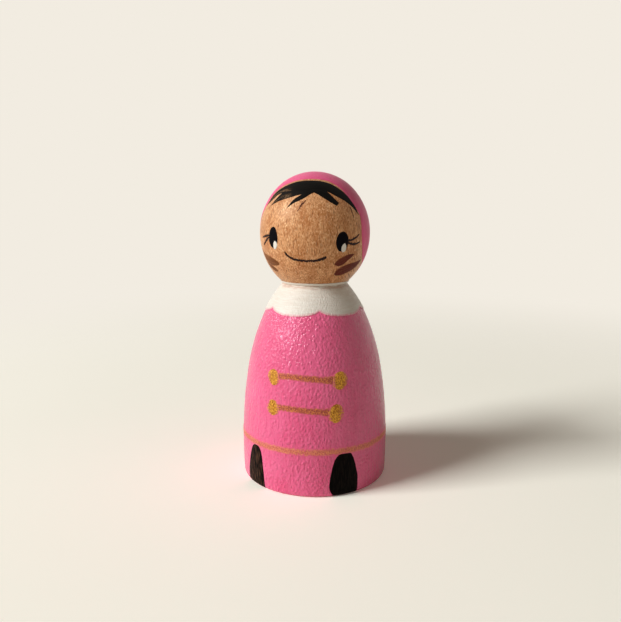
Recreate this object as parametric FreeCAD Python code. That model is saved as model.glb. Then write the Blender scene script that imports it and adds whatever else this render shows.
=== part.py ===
import FreeCAD, Part
import math
import os

# A painted peg doll in millimetres: one turned piece of beech and the coats of paint laid on it.
# The origin is the centre of the base, +Z is up and the doll faces -Y.
# A direction round the doll is an azimuth in degrees: 0 is the front (-Y), 90 is +X, the doll's left side.

# The body is a bell of three arcs, each running smoothly into the next: side, flank and shoulder.
BODY_RADIUS = 22.55
WIDEST_HEIGHT = 9.5
SIDE_ARC = 150.0
FLANK_ARC = 66.0
SHOULDER_ARC = 40.0
FLANK_STARTS = 9.2      # slope of the surface there, degrees in from upright
SHOULDER_STARTS = 24.0
BASE_EDGE = 1.2         # radius of the eased edge round the base

# The head is an egg: a side arc from the equator, a crown arc above it and a chin arc below.
HEAD_HEIGHT = 74.7
HEAD_RADIUS = 16.55
HEAD_SIDE_ARC = 19.4
CROWN_RISE = 18.05
CHIN_DROP = 18.5

# Paint is measured out from the wood: one coat, a second coat over it, and thick opaque white.
ONE_COAT = 0.15
TWO_COATS = 0.27
WHITE_PAINT = 0.25

# Heights where the coats end. The hood, the collar and the dress meet round the neck.
NECK_TOP = 60.5
CROWN_CLEAR = 100.0     # any height above the crown
DRESS_TOP = 55.0
HEM_HEIGHT = 13.9
HEM_WIDTH = 1.0

# The collar hangs in six scallops between cusps. The front two are a little wider than the rest.
SCALLOP_CUSPS = [-50.0, 15.0, 79.0, 137.0, 192.0, 250.0, 310.0]
CUSP_HEIGHT = 53.1
SCALLOP_LOW = 51.4
CUSP_RADIUS = 14.4      # of the body at the cusps

REACH = 60.0            # how far out the solids that bound a coat run, well past the doll


def turned(edges):
    """Solid of revolution about Z from joined edges between points of the axis, with its seam at the back."""
    profile = Part.Face(Part.Wire(edges))
    profile.rotate(FreeCAD.Vector(0, 0, 0), FreeCAD.Vector(0, 0, 1), 90)
    return profile.revolve(FreeCAD.Vector(0, 0, 0), FreeCAD.Vector(0, 0, 1), 360)


def on_circle(centre, radius, angle):
    """Point of the XZ half-plane at an angle in degrees above the horizontal."""
    turn = math.radians(angle)
    return FreeCAD.Vector(centre.x + radius * math.cos(turn), 0, centre.z + radius * math.sin(turn))


def arc(centre, radius, start, end):
    """Arc of the XZ half-plane between two angles."""
    middle = (start + end) / 2
    return Part.Arc(
        on_circle(centre, radius, start),
        on_circle(centre, radius, middle),
        on_circle(centre, radius, end),
    ).toShape()


def line(start, end):
    return Part.LineSegment(start, end).toShape()


def body_form(paint):
    """The bell of the body, grown outwards by a thickness of paint. Its point is hidden in the head."""
    side = FreeCAD.Vector(BODY_RADIUS - SIDE_ARC, 0, WIDEST_HEIGHT)
    flank = on_circle(side, SIDE_ARC - FLANK_ARC, FLANK_STARTS)
    shoulder = on_circle(flank, FLANK_ARC - SHOULDER_ARC, SHOULDER_STARTS)
    side_starts = math.degrees(math.asin((BASE_EDGE - WIDEST_HEIGHT) / (SIDE_ARC - BASE_EDGE)))
    edge = on_circle(side, SIDE_ARC - BASE_EDGE, side_starts)
    edge_starts = -math.degrees(math.asin(BASE_EDGE / (BASE_EDGE + paint)))
    point_angle = math.degrees(math.acos(-shoulder.x / (SHOULDER_ARC + paint)))
    base_centre = FreeCAD.Vector(0, 0, 0)
    rim = on_circle(edge, BASE_EDGE + paint, edge_starts)
    tip = on_circle(shoulder, SHOULDER_ARC + paint, point_angle)
    return turned([
        line(base_centre, rim),
        arc(edge, BASE_EDGE + paint, edge_starts, side_starts),
        arc(side, SIDE_ARC + paint, side_starts, FLANK_STARTS),
        arc(flank, FLANK_ARC + paint, FLANK_STARTS, SHOULDER_STARTS),
        arc(shoulder, SHOULDER_ARC + paint, SHOULDER_STARTS, point_angle),
        line(tip, base_centre),
    ])


def head_cap(reach):
    """Centre offset, radius and joint angle of the arc that closes the head on the axis."""
    inset = HEAD_SIDE_ARC - HEAD_RADIUS
    spare = HEAD_SIDE_ARC - reach
    offset = (inset ** 2 - spare ** 2) / (2 * spare)
    return offset, reach - offset, math.degrees(math.atan2(offset, inset))


def head_form(paint):
    """The egg of the head, grown outwards by a thickness of paint."""
    side = FreeCAD.Vector(HEAD_RADIUS - HEAD_SIDE_ARC, 0, HEAD_HEIGHT)
    crown_offset, crown_radius, crown_angle = head_cap(CROWN_RISE)
    chin_offset, chin_radius, chin_angle = head_cap(CHIN_DROP)
    crown = FreeCAD.Vector(0, 0, HEAD_HEIGHT + crown_offset)
    chin = FreeCAD.Vector(0, 0, HEAD_HEIGHT - chin_offset)
    bottom = on_circle(chin, chin_radius + paint, -90)
    top = on_circle(crown, crown_radius + paint, 90)
    return turned([
        arc(chin, chin_radius + paint, -90, -chin_angle),
        arc(side, HEAD_SIDE_ARC + paint, -chin_angle, crown_angle),
        arc(crown, crown_radius + paint, crown_angle, 90),
        line(top, bottom),
    ])


def peg_form(paint):
    """The whole doll's outer form under a thickness of paint. Nothing of it is below the base."""
    return body_form(paint).fuse(head_form(paint)).removeSplitter()


def band(bottom, top):
    """Everything between two heights."""
    return Part.makeCylinder(REACH, top - bottom, FreeCAD.Vector(0, 0, bottom))


def smooth_edge(points):
    """One curve through the points, which are (across, height) as seen square on."""
    places = [FreeCAD.Vector(across, 0, height) for across, height in points]
    if len(places) == 2:
        return line(*places)
    curve = Part.BSplineCurve()
    curve.interpolate(places)
    return curve.toShape()


def run_out(azimuth, edges):
    """Prism of a closed outline, run straight out from the axis towards an azimuth."""
    solid = Part.Face(Part.Wire(edges)).extrude(FreeCAD.Vector(0, -REACH, 0))
    solid.rotate(FreeCAD.Vector(0, 0, 0), FreeCAD.Vector(0, 0, 1), azimuth)
    return solid


def outline(azimuth, edges):
    """Prism of a mark with corners. Each edge starts at the corner where the last one ends."""
    return run_out(azimuth, [smooth_edge(points) for points in edges])


def blob(azimuth, points):
    """Prism of a rounded mark whose outline is one closed curve."""
    places = [FreeCAD.Vector(across, 0, height) for across, height in points]
    curve = Part.BSplineCurve()
    curve.interpolate(Points=places, PeriodicFlag=True)
    return run_out(azimuth, [curve.toShape()])


def stroke(azimuth, path, widths):
    """Prism of one pull of a brush or pen: a path, and the width of the mark at each of its points."""
    upper = []
    lower = []
    for index, (across, height) in enumerate(path):
        before = path[max(index - 1, 0)]
        after = path[min(index + 1, len(path) - 1)]
        run = math.hypot(after[0] - before[0], after[1] - before[1])
        normal = ((before[1] - after[1]) / run, (after[0] - before[0]) / run)
        half = widths[index] / 2
        upper.append((across + normal[0] * half, height + normal[1] * half))
        lower.append((across - normal[0] * half, height - normal[1] * half))
    lower.reverse()
    return outline(azimuth, [upper, [upper[-1], lower[0]], lower, [lower[-1], upper[0]]])


def painted(region, paint, under):
    """Film of paint filling a region from the wood out to a thickness, round what is already there."""
    film = outside[paint].common(region)
    for coat in [peg] + under:
        film = film.cut(coat)
    return film


def painted_marks(regions, paint, under):
    """Like marks that make one sub-part, each laid round the ones before it."""
    films = []
    for region in regions:
        films.append(painted(region, paint, under + films))
    return films


# The turned peg: body and head are one piece of wood with a V cut between them.
peg = peg_form(0)
outside = {paint: peg_form(paint) for paint in (ONE_COAT, TWO_COATS, WHITE_PAINT)}
parts = {"turned_peg": peg}

# The pink dress runs from the base edge to under the collar.
dress = painted(band(0, DRESS_TOP), ONE_COAT, [])
parts["dress_coat"] = dress

# The white collar covers the neck and laps over the top of the dress.
collar_region = band(CUSP_HEIGHT, NECK_TOP)
for left, right in zip(SCALLOP_CUSPS, SCALLOP_CUSPS[1:]):
    half_chord = CUSP_RADIUS * math.sin(math.radians((right - left) / 2))
    depth = CUSP_HEIGHT - SCALLOP_LOW
    radius = (half_chord ** 2 + depth ** 2) / (2 * depth)
    turn = math.radians((left + right) / 2)
    outward = FreeCAD.Vector(math.sin(turn), -math.cos(turn), 0)
    centre = FreeCAD.Vector(0, 0, SCALLOP_LOW + radius)
    scallop = Part.makeCylinder(radius, REACH, centre, outward).common(band(0, CUSP_HEIGHT))
    collar_region = collar_region.fuse(scallop)
collar = painted(collar_region, WHITE_PAINT, [dress])
parts["collar_coat"] = collar

# The pink hood covers the head behind an opening for the face, which is open below at the front.
# It is laid behind the ears and before them, and the two run into one coat.
HOOD_OPENING = [
    [(-17.5, 60.0), (-17.5, 66.0)],
    [(-17.5, 66.0), (-16.2, 71.0), (-16.3, 76.0), (-15.3, 79.6), (-13.0, 82.8), (-10.3, 86.4),
     (-6.0, 89.0), (-2.6, 89.9), (1.1, 90.3), (5.0, 89.6), (8.8, 87.6), (11.6, 84.8), (13.6, 81.7),
     (14.5, 79.0), (14.8, 75.8), (15.0, 71.0), (14.6, 66.0)],
    [(14.6, 66.0), (17.5, 62.0)],
    [(17.5, 62.0), (17.5, 60.0)],
    [(17.5, 60.0), (-17.5, 60.0)],
]
head_span = CROWN_CLEAR - NECK_TOP
behind_ears = Part.makeBox(2 * REACH, REACH, head_span, FreeCAD.Vector(-REACH, 0, NECK_TOP))
before_ears = Part.makeBox(2 * REACH, REACH, head_span, FreeCAD.Vector(-REACH, -REACH, NECK_TOP))
hood_back = painted(behind_ears, ONE_COAT, [collar])
hood_front = painted(before_ears.cut(outline(0, HOOD_OPENING)), ONE_COAT, [collar])
parts["hood_coat"] = hood_back.fuse(hood_front)

# The black fringe: an arc of hair under the hood, parted into pointed strands.
FRINGE = [
    [(-12.7, 82.7), (-11.1, 85.2), (-8.5, 87.1), (-5.4, 88.6), (-1.0, 89.5), (3.0, 89.3),
     (6.1, 88.6), (10.0, 86.1), (12.8, 82.6), (14.3, 79.5)],
    [(14.3, 79.5), (12.7, 81.9), (9.2, 84.6), (5.5, 86.4)],
    [(5.5, 86.4), (7.3, 84.9), (9.0, 83.4)],
    [(9.0, 83.4), (8.6, 82.4)],
    [(8.6, 82.4), (5.9, 84.1), (2.0, 86.2)],
    [(2.0, 86.2), (0.3, 85.2), (-2.1, 84.0), (-5.5, 82.0)],
    [(-5.5, 82.0), (-3.9, 84.0), (-1.2, 85.9)],
    [(-1.2, 85.9), (-4.6, 84.9), (-8.4, 83.8), (-11.2, 82.5)],
    [(-11.2, 82.5), (-10.3, 84.2), (-9.2, 85.2)],
    [(-9.2, 85.2), (-11.0, 84.2), (-12.7, 82.7)],
]
fringe = painted(outline(0, FRINGE), ONE_COAT, [])
parts["hair_fringe"] = fringe

# Two fine stray hairs below the fringe.
wisp_by_parting = stroke(0, [(0.6, 84.3), (-0.4, 83.1), (-1.3, 82.0), (-2.1, 80.8)], [0.3, 0.35, 0.3, 0.15])
wisp_by_temple = stroke(50, [(0.4, 82.4), (0.7, 80.9), (1.0, 79.5)], [0.3, 0.3, 0.15])
parts["hair_wisps"] = Part.makeCompound(painted_marks([wisp_by_parting, wisp_by_temple], ONE_COAT, [fringe]))

# The eyes: upright black ovals, each with a white glint over its lower edge and two lashes beside it.
RIGHT_EYE = 36.0
LEFT_EYE = 38.0
right_eye = painted(blob(-RIGHT_EYE, [
    (0.3, 76.9), (-1.0, 76.0), (-1.8, 73.8), (-1.6, 71.7),
    (-0.4, 70.7), (1.1, 71.5), (2.0, 73.6), (1.5, 75.8),
]), ONE_COAT, [])
left_eye = painted(blob(LEFT_EYE, [
    (0.3, 75.7), (-1.1, 75.0), (-2.0, 73.0), (-1.6, 70.9),
    (-0.5, 70.0), (1.0, 70.5), (2.0, 72.6), (1.6, 74.8),
]), ONE_COAT, [])
parts["right_eye"] = right_eye
parts["left_eye"] = left_eye
parts["right_eye_glint"] = painted(blob(-RIGHT_EYE, [
    (1.0, 72.8), (0.1, 72.0), (-0.1, 71.0), (0.6, 70.4), (1.6, 71.0), (1.8, 72.0),
]), WHITE_PAINT, [right_eye])
parts["left_eye_glint"] = painted(blob(LEFT_EYE, [
    (0.6, 72.3), (-0.1, 71.6), (0.0, 70.1), (0.7, 69.8), (1.2, 70.5), (1.1, 71.6),
]), WHITE_PAINT, [left_eye])

LASH_WIDTHS = [0.5, 0.4, 0.2]
right_lashes = [
    stroke(-50, [(2.6, 74.5), (0.4, 74.0), (-2.4, 73.7)], LASH_WIDTHS),
    stroke(-50, [(2.5, 73.8), (0.8, 72.8), (-1.5, 71.2)], LASH_WIDTHS),
]
left_lashes = [
    stroke(55, [(-3.3, 72.9), (-0.8, 73.6), (1.4, 74.8)], LASH_WIDTHS),
    stroke(55, [(-3.3, 72.1), (-0.3, 71.8), (2.3, 72.5)], LASH_WIDTHS),
]
parts["right_lashes"] = Part.makeCompound(painted_marks(right_lashes, ONE_COAT, [right_eye]))
parts["left_lashes"] = Part.makeCompound(painted_marks(left_lashes, ONE_COAT, [left_eye]))

# The smile is one pull of a pen.
SMILE = [(-5.8, 69.8), (-4.9, 69.0), (-2.8, 67.9), (-0.2, 67.6), (3.4, 67.7), (6.0, 68.5)]
smile_widths = [0.4, 0.5, 0.6, 0.6, 0.6, 0.75]
parts["mouth"] = painted(stroke(0, SMILE, smile_widths), ONE_COAT, [])

# Each cheek has two dry strokes of red-brown, one above the other, pulled from a blunt end by the nose.
right_cheek = [
    stroke(-47, [(-3.9, 69.4), (-1.6, 68.0), (1.2, 66.9), (3.4, 66.1)], [0.3, 2.2, 2.5, 1.6]),
    stroke(-52, [(-3.8, 66.0), (-1.2, 65.0), (1.0, 64.4), (2.5, 64.0)], [0.3, 1.0, 1.2, 0.9]),
]
left_cheek = [
    stroke(42, [(4.0, 69.4), (2.0, 68.7), (0.2, 67.7), (-2.5, 66.4)], [0.3, 1.4, 2.4, 1.2]),
    stroke(52, [(6.2, 67.4), (3.6, 66.2), (0.2, 65.0), (-3.6, 63.7)], [0.3, 2.0, 2.9, 1.8]),
]
parts["right_cheek_strokes"] = Part.makeCompound(painted_marks(right_cheek, ONE_COAT, []))
parts["left_cheek_strokes"] = Part.makeCompound(painted_marks(left_cheek, ONE_COAT, []))

# Two gold frogs fasten the coat: a cord across the front with a dabbed knot at each end.
# Each knot is (across, height, half its width, half its height), as the doll is seen square on.
FROGS_FACE = 2.0
CORD_WIDTH = 1.2
KNOT_CORNERS = range(0, 360, 60)
frogs = {
    "upper_frog": (
        [(-8.6, 34.9), (-4.4, 35.2), (0.5, 34.9), (4.5, 34.6), (8.6, 34.2)],
        [(-9.3, 34.4, 1.7, 2.1), (9.65, 34.1, 1.9, 2.4)],
    ),
    "lower_frog": (
        [(-8.4, 26.1), (-3.5, 26.1), (0.5, 25.9), (4.5, 25.7), (8.2, 25.3)],
        [(-9.1, 25.8, 1.8, 2.1), (9.1, 24.9, 2.0, 2.5)],
    ),
}
for frog, (cord_path, knots) in frogs.items():
    knot_regions = []
    for across, height, half_width, half_height in knots:
        ring = []
        for corner in KNOT_CORNERS:
            turn = math.radians(corner)
            ring.append((across + half_width * math.cos(turn), height + half_height * math.sin(turn)))
        knot_regions.append(blob(FROGS_FACE, ring))
    knot_films = painted_marks(knot_regions, TWO_COATS, [dress])
    cord_region = stroke(FROGS_FACE, cord_path, [CORD_WIDTH] * len(cord_path))
    parts[frog + "_cord"] = painted(cord_region, TWO_COATS, [dress] + knot_films)
    parts[frog + "_knots"] = Part.makeCompound(knot_films)

# A gold line marks the hem all round.
hem_region = band(HEM_HEIGHT - HEM_WIDTH / 2, HEM_HEIGHT + HEM_WIDTH / 2)
parts["hem_line"] = painted(hem_region, TWO_COATS, [dress])

# Two black boots stand below the hem, from just under the line to the base edge.
right_boot = outline(-41, [
    [(-4.1, 0.0), (-4.2, 3.6), (-3.0, 8.0), (-1.6, 11.8), (0.2, 13.1)],
    [(0.2, 13.1), (1.6, 12.7), (2.6, 11.4), (3.3, 8.5), (3.9, 0.0)],
    [(3.9, 0.0), (-4.1, 0.0)],
])
left_boot = outline(32.5, [
    [(-3.2, 0.0), (-4.3, 1.8), (-4.4, 5.5), (-3.4, 10.2), (-1.1, 13.2)],
    [(-1.1, 13.2), (1.9, 13.1)],
    [(1.9, 13.1), (3.4, 9.6), (4.4, 4.8), (4.4, 0.0)],
    [(4.4, 0.0), (-3.2, 0.0)],
])
parts["right_boot"] = painted(right_boot, TWO_COATS, [dress])
parts["left_boot"] = painted(left_boot, TWO_COATS, [dress])

os.makedirs("parts", exist_ok=True)
for name, shape in parts.items():
    solids = len(shape.Solids)
    shape.exportStep("parts/" + name + ".step")
    print(name, "solids", solids, "valid", shape.isValid(), "volume", round(shape.Volume, 3))
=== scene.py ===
import bmesh
import bpy
import math
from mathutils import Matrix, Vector, geometry, noise


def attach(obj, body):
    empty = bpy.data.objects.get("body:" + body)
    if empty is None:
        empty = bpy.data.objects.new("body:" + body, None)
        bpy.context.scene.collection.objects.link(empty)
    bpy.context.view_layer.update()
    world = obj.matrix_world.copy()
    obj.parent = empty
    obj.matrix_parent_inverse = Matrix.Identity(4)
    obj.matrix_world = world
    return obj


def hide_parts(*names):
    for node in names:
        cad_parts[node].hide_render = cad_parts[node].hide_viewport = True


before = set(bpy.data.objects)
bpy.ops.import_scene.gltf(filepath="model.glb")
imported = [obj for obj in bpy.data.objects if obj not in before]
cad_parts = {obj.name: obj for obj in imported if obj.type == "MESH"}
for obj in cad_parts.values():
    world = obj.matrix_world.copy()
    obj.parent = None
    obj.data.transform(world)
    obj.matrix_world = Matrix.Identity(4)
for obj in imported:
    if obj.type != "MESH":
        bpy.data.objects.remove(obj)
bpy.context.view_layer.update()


# THE TURNED PEG
# One blank of beech, turned on a lathe to a bell-shaped body, a V cut for the neck and an egg-shaped
# head, then sanded by hand. The wood stays bare on the face, in the line above the fringe and on the base.
BODY_RADIUS = 0.02255
WIDEST_HEIGHT = 0.0095
EDGE_ARC = 0.0012
SIDE_ARC = 0.150
FLANK_ARC = 0.066
SHOULDER_ARC = 0.040
FLANK_SLOPE = 9.2
SHOULDER_SLOPE = 24.0
HEAD_HEIGHT = 0.0747
HEAD_RADIUS = 0.01655
HEAD_SIDE_ARC = 0.0194
CROWN_REACH = 0.01805
CHIN_REACH = 0.0185
WOOD_SPACING = 0.0006
SANDING_DEPTH = 0.00003


def out_from(centre, reach, slope):
    """The place a distance from a centre of the profile, at a slope in degrees above level."""
    turn = math.radians(slope)
    return Vector((centre.x + reach * math.cos(turn), 0, centre.z + reach * math.sin(turn)))


def head_cap(reach):
    """Centre offset, radius and joint slope of the arc that closes the head on the axis."""
    inset = HEAD_SIDE_ARC - HEAD_RADIUS
    spare = HEAD_SIDE_ARC - reach
    offset = (inset ** 2 - spare ** 2) / (2 * spare)
    return offset, reach - offset, math.degrees(math.atan2(offset, inset))


def slope_of(rise):
    """Slope in degrees of a line of length 1 that rises so far."""
    return math.degrees(math.asin(max(-1.0, min(1.0, rise))))


side_centre = Vector((BODY_RADIUS - SIDE_ARC, 0, WIDEST_HEIGHT))
flank_centre = out_from(side_centre, SIDE_ARC - FLANK_ARC, FLANK_SLOPE)
shoulder_centre = out_from(flank_centre, FLANK_ARC - SHOULDER_ARC, SHOULDER_SLOPE)
side_starts = slope_of((EDGE_ARC - WIDEST_HEIGHT) / (SIDE_ARC - EDGE_ARC))
edge_centre = out_from(side_centre, SIDE_ARC - EDGE_ARC, side_starts)
crown_offset, crown_radius, crown_slope = head_cap(CROWN_REACH)
chin_offset, chin_radius, chin_slope = head_cap(CHIN_REACH)
head_centre = Vector((0, 0, HEAD_HEIGHT))
cheek_centre = Vector((HEAD_RADIUS - HEAD_SIDE_ARC, 0, HEAD_HEIGHT))
crown_centre = Vector((0, 0, HEAD_HEIGHT + crown_offset))
chin_centre = Vector((0, 0, HEAD_HEIGHT - chin_offset))

# Each arc of the profile, from the base edge up: its centre, its radius and the slopes it runs between.
# The shoulder and the chin run on past the neck, where the one that reaches out farther is the surface.
ARCS = [
    (edge_centre, EDGE_ARC, -90.0, side_starts),
    (side_centre, SIDE_ARC, side_starts, FLANK_SLOPE),
    (flank_centre, FLANK_ARC, FLANK_SLOPE, SHOULDER_SLOPE),
    (shoulder_centre, SHOULDER_ARC, SHOULDER_SLOPE, 75.0),
    (chin_centre, chin_radius, -90.0, -chin_slope),
    (cheek_centre, HEAD_SIDE_ARC, -chin_slope, crown_slope),
    (crown_centre, crown_radius, crown_slope, 90.0),
]


def peg_radius(height, paint):
    """How far the doll reaches from its axis at a height, under a thickness of paint."""
    reach = 0.0
    for centre, radius, low, high in ARCS:
        rise = (height - centre.z) / (radius + paint)
        if abs(rise) <= 1 and low - 1e-4 <= math.degrees(math.asin(rise)) <= high + 1e-4:
            reach = max(reach, centre.x + (radius + paint) * math.sqrt(1 - rise * rise))
    return reach


def sanded(place):
    """The place moved by the few hundredths of a millimetre that hand sanding leaves uneven."""
    heart = Vector((0, 0, min(place.z, HEAD_HEIGHT)))
    return place + (place - heart).normalized() * SANDING_DEPTH * noise.noise(place * 220)


def on_peg(azimuth, height, paint=0.0):
    """The place on the doll at an azimuth in degrees, where 0 is the front and 90 the doll's left."""
    turn = math.radians(azimuth)
    reach = peg_radius(height, paint)
    return sanded(Vector((reach * math.sin(turn), -reach * math.cos(turn), height)))


def trace(bm, corner, arcs):
    """Runs the profile on from a corner along arcs (centre, first slope, last slope, spacing)."""
    for centre, start, end, spacing in arcs:
        turn = math.radians(end - start)
        steps = max(2, round(abs(turn) * (corner.co - centre).length / spacing))
        swept = bmesh.ops.spin(bm, geom=[corner], cent=centre, axis=(0, -1, 0), angle=turn, steps=steps)
        corner = [item for item in swept["geom_last"] if isinstance(item, bmesh.types.BMVert)][0]
    return corner


def turn_on_lathe(bm, steps):
    """Turns the profile once round the axis, closes it and sands it."""
    bmesh.ops.spin(
        bm, geom=bm.verts[:] + bm.edges[:], cent=(0, 0, 0), axis=(0, 0, 1),
        angle=math.radians(360), steps=steps, use_merge=True,
    )
    bmesh.ops.remove_doubles(bm, verts=bm.verts, dist=2e-6)
    bmesh.ops.recalc_face_normals(bm, faces=bm.faces)
    for vert in bm.verts:
        vert.co = sanded(vert.co)


def in_scene(name, data):
    """A new object in the scene."""
    made = bpy.data.objects.new(name, data)
    bpy.context.scene.collection.objects.link(made)
    return made


def as_object(name, bm, material):
    """Makes the mesh an object in the scene."""
    mesh = bpy.data.meshes.new(name)
    bm.to_mesh(mesh)
    bm.free()
    mesh.materials.append(material)
    return in_scene(name, mesh)


def finish_piece(name, bm, material, slot, *nodes):
    """Makes the mesh a piece of the doll, in place of its CAD nodes."""
    made = as_object(name, bm, material)
    made.data.shade_smooth()
    made.data.set_sharp_from_angle(angle=math.radians(50))
    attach(made, "root")
    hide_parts(*nodes)


def set_sockets(tree, node, sockets):
    """Fills in a node's sockets. Each takes a value, or the output of another node."""
    for socket, value in sockets.items():
        if isinstance(value, bpy.types.NodeSocket):
            tree.links.new(value, node.inputs[socket])
        else:
            node.inputs[socket].default_value = value


def add(tree, kind, sockets, **settings):
    """Adds a shader node."""
    made = tree.nodes.new("ShaderNode" + kind)
    for setting, value in settings.items():
        setattr(made, setting, value)
    set_sockets(tree, made, sockets)
    return made


def colour(red, green, blue):
    """A colour written as a screen shows it, 0 to 255."""
    shares = [part / 255 for part in (red, green, blue)]
    return [s / 12.92 if s <= 0.04045 else ((s + 0.055) / 1.055) ** 2.4 for s in shares] + [1.0]


def new_material(name):
    """An empty material: its tree, its surface shader and the place on the doll."""
    made = bpy.data.materials.new(name)
    made.use_nodes = True
    tree = made.node_tree
    shader = tree.nodes["Principled BSDF"]
    place = add(tree, "TexCoord", {}).outputs["Object"]
    return made, tree, shader, place


def measured(tree, place, sizes, shift=0.0, turn=0.0):
    """The place counted in units of so many millimetres each way, turned about the axis and shifted."""
    return add(tree, "Mapping", {
        "Vector": place, "Location": (shift, shift, shift), "Rotation": (0, 0, turn),
        "Scale": [1000 / size for size in sizes],
    }).outputs[0]


def grains(tree, place, across, along, shift=0.0, detail=2.0):
    """Noise from 0 to 1 with grains so many millimetres across, and along the doll's axis."""
    sized = measured(tree, place, (across, across, along), shift)
    return add(tree, "TexNoise", {"Vector": sized, "Scale": 1.0, "Detail": detail}).outputs["Fac"]


def cells(tree, place, sizes, shift=0.0, turn=0.0):
    """A field of cells so many millimetres each way."""
    return add(tree, "TexVoronoi", {"Vector": measured(tree, place, sizes, shift, turn), "Scale": 1.0})


def ramp(tree, value, low, high, start=0.0, end=1.0):
    """Runs smoothly from start to end as the value goes from low to high."""
    return add(tree, "MapRange", {
        "Value": value, "From Min": low, "From Max": high, "To Min": start, "To Max": end,
    }, interpolation_type="SMOOTHSTEP").outputs["Result"]


def calc(tree, operation, *values):
    """Arithmetic on values or outputs."""
    return add(tree, "Math", dict(enumerate(values)), operation=operation).outputs[0]


def tint(tree, share, first, second):
    """The first colour where the share is 0 and the second where it is 1."""
    return add(tree, "Mix", {0: share, 6: first, 7: second}, data_type="RGBA").outputs[2]


def mixed(tree, first, first_part, second, second_part):
    """Two heights added up, each at its part of the whole."""
    parts = [calc(tree, "MULTIPLY", first, first_part), calc(tree, "MULTIPLY", second, second_part)]
    return calc(tree, "ADD", *parts)


def relief(tree, height, depth):
    """Surface relief, so many metres from its lowest to its highest."""
    return add(tree, "Bump", {"Height": height, "Strength": 1.0, "Distance": depth}).outputs["Normal"]


# How the beech lies in the doll: its growth rings stand upright about a pith behind the doll and to its
# left, and its rays run in from the face, turned a little. A fleck is a ray seen end on: its size across
# and along, the shift of its pattern and the share of its cell that it fills.
RING_WIDTH = 0.0021
PITH = (0.022, 0.085, 0)
RAY_TURN = 0.24
RAY_DEPTH = 14
FLECKS = ((0.42, 2.4, 0.0, 0.34), (0.62, 4.6, 7.3, 0.24))


def beech_grain(tree, place):
    """Colour and relief of turned beech: slow ovals of growth rings, upright flecks, pores and specks."""
    bent = add(tree, "VectorMath", {
        0: place,
        1: add(tree, "TexNoise", {"Vector": place, "Scale": 45.0, "Detail": 1.0}).outputs["Color"],
        2: (0.0025, 0.0025, 0.0),
    }, operation="MULTIPLY_ADD").outputs[0]
    flat = add(tree, "VectorMath", {0: bent, 1: (1, 1, 0)}, operation="MULTIPLY").outputs[0]
    from_pith = add(tree, "VectorMath", {0: flat, 1: PITH}, operation="DISTANCE").outputs["Value"]
    ring = calc(tree, "FRACT", calc(tree, "MULTIPLY", from_pith, 1 / RING_WIDTH))
    late = calc(tree, "MULTIPLY", ramp(tree, ring, 0.55, 0.97), ramp(tree, ring, 1.0, 0.97))
    dashes = []
    for across, along, shift, size in FLECKS:
        ray = cells(tree, place, (across, RAY_DEPTH, along), shift, RAY_TURN)
        strength = add(tree, "SeparateColor", {"Color": ray.outputs["Color"]}).outputs[0]
        mark = ramp(tree, ray.outputs["Distance"], size, size * 0.4)
        dashes.append(calc(tree, "MULTIPLY", mark, strength))
    fleck = calc(tree, "MAXIMUM", *dashes)
    patches = grains(tree, place, 3.0, 6.0, 3.1)
    specks = grains(tree, place, 0.36, 0.75, 6.6)
    pores = grains(tree, place, 0.16, 1.1, detail=3.0)
    lines = grains(tree, place, 0.45, 6.5, 9.9)
    body = tint(tree, ramp(tree, patches, 0.35, 0.68), colour(234, 174, 122), colour(206, 140, 88))
    body = tint(tree, ramp(tree, specks, 0.48, 0.66, 0.0, 0.72), body, colour(168, 94, 46))
    body = tint(tree, ramp(tree, specks, 0.44, 0.30, 0.0, 0.80), body, colour(255, 216, 168))
    body = tint(tree, ramp(tree, pores, 0.42, 0.66, 0.0, 0.40), body, colour(166, 98, 52))
    body = tint(tree, ramp(tree, pores, 0.46, 0.28, 0.0, 0.34), body, colour(252, 218, 176))
    body = tint(tree, ramp(tree, lines, 0.56, 0.68, 0.0, 0.55), body, colour(172, 98, 48))
    body = tint(tree, calc(tree, "MULTIPLY", late, 0.20), body, colour(184, 116, 70))
    body = tint(tree, calc(tree, "MULTIPLY", fleck, 0.85), body, colour(118, 56, 20))
    height = calc(tree, "SUBTRACT", calc(tree, "MULTIPLY", pores, 0.5), calc(tree, "MULTIPLY", fleck, 0.5))
    return body, height


beech, tree, shader, place = new_material("turned_beech")
wood_colour, wood_height = beech_grain(tree, place)
set_sockets(tree, shader, {
    "Base Color": wood_colour,
    "Normal": relief(tree, wood_height, 0.00005),
    "Roughness": ramp(tree, wood_height, -0.2, 0.5, 0.52, 0.36),
    "Specular IOR Level": 0.5,
    # the gloss is tinted warm: painted colour in the reflections, standing in for warm light
    "Specular Tint": (1.0, 0.78, 0.52, 1.0),
})

crossings = geometry.intersect_sphere_sphere_2d(
    shoulder_centre.xz, SHOULDER_ARC, chin_centre.xz, chin_radius
)
neck = max(crossings, key=lambda spot: spot.x)
neck_from_body = math.degrees(math.atan2(neck.y - shoulder_centre.z, neck.x - shoulder_centre.x))
neck_from_head = math.degrees(math.atan2(neck.y - chin_centre.z, neck.x))

bm = bmesh.new()
middle = bm.verts.new((0, 0, 0))
corner = bmesh.ops.extrude_vert_indiv(bm, verts=[middle])["verts"][0]
corner.co.x = edge_centre.x
trace(bm, corner, [
    (edge_centre, -90.0, side_starts, WOOD_SPACING),
    (side_centre, side_starts, FLANK_SLOPE, WOOD_SPACING),
    (flank_centre, FLANK_SLOPE, SHOULDER_SLOPE, WOOD_SPACING),
    (shoulder_centre, SHOULDER_SLOPE, neck_from_body, WOOD_SPACING),
    (chin_centre, neck_from_head, -chin_slope, WOOD_SPACING),
    (cheek_centre, -chin_slope, crown_slope, WOOD_SPACING),
    (crown_centre, crown_slope, 90.0, WOOD_SPACING),
])
turn_on_lathe(bm, 288)
finish_piece("turned_beech_peg", bm, beech, "beech", "turned_peg")


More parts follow.
